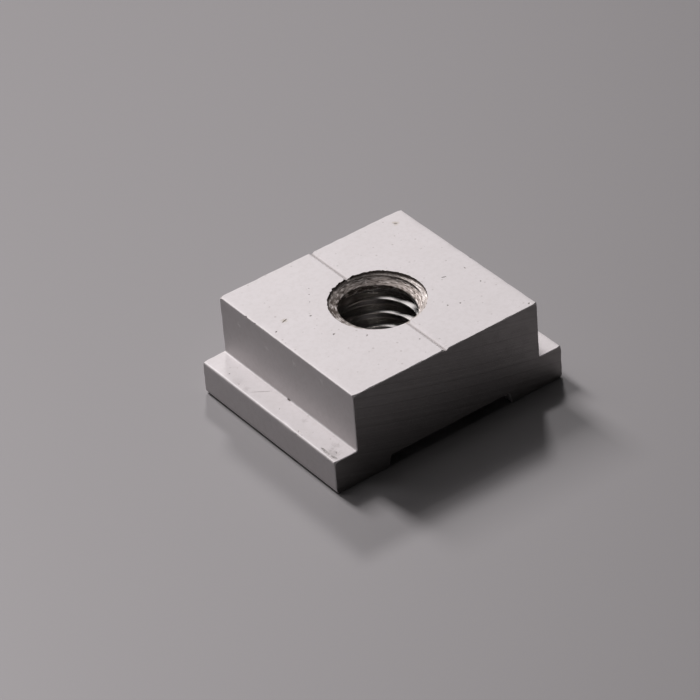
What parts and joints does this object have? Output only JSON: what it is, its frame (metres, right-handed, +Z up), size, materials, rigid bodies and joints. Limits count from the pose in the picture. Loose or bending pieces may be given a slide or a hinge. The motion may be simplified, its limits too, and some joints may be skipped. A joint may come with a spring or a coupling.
{
  "type": "miter track nut",
  "caption": "T-section aluminium nut that slides along a saw table's miter slot, with a countersunk, tapped hole through its middle for a clamping screw.",
  "frame": {"origin": "middle of the footprint, on the plane of the two feet and on the axis of the screw hole", "axes": "+X across the slot, +Y along the slot, +Z up the screw hole to its countersunk mouth"},
  "size_m": [0.0234, 0.0182, 0.0087],
  "materials": {
    "anodised_aluminium": "satin clear-anodised extrusion, with bare machined metal in the screw hole"
  },
  "bodies": {
    "root": {"track_nut": "anodised_aluminium"}
  },
  "joints": []
}
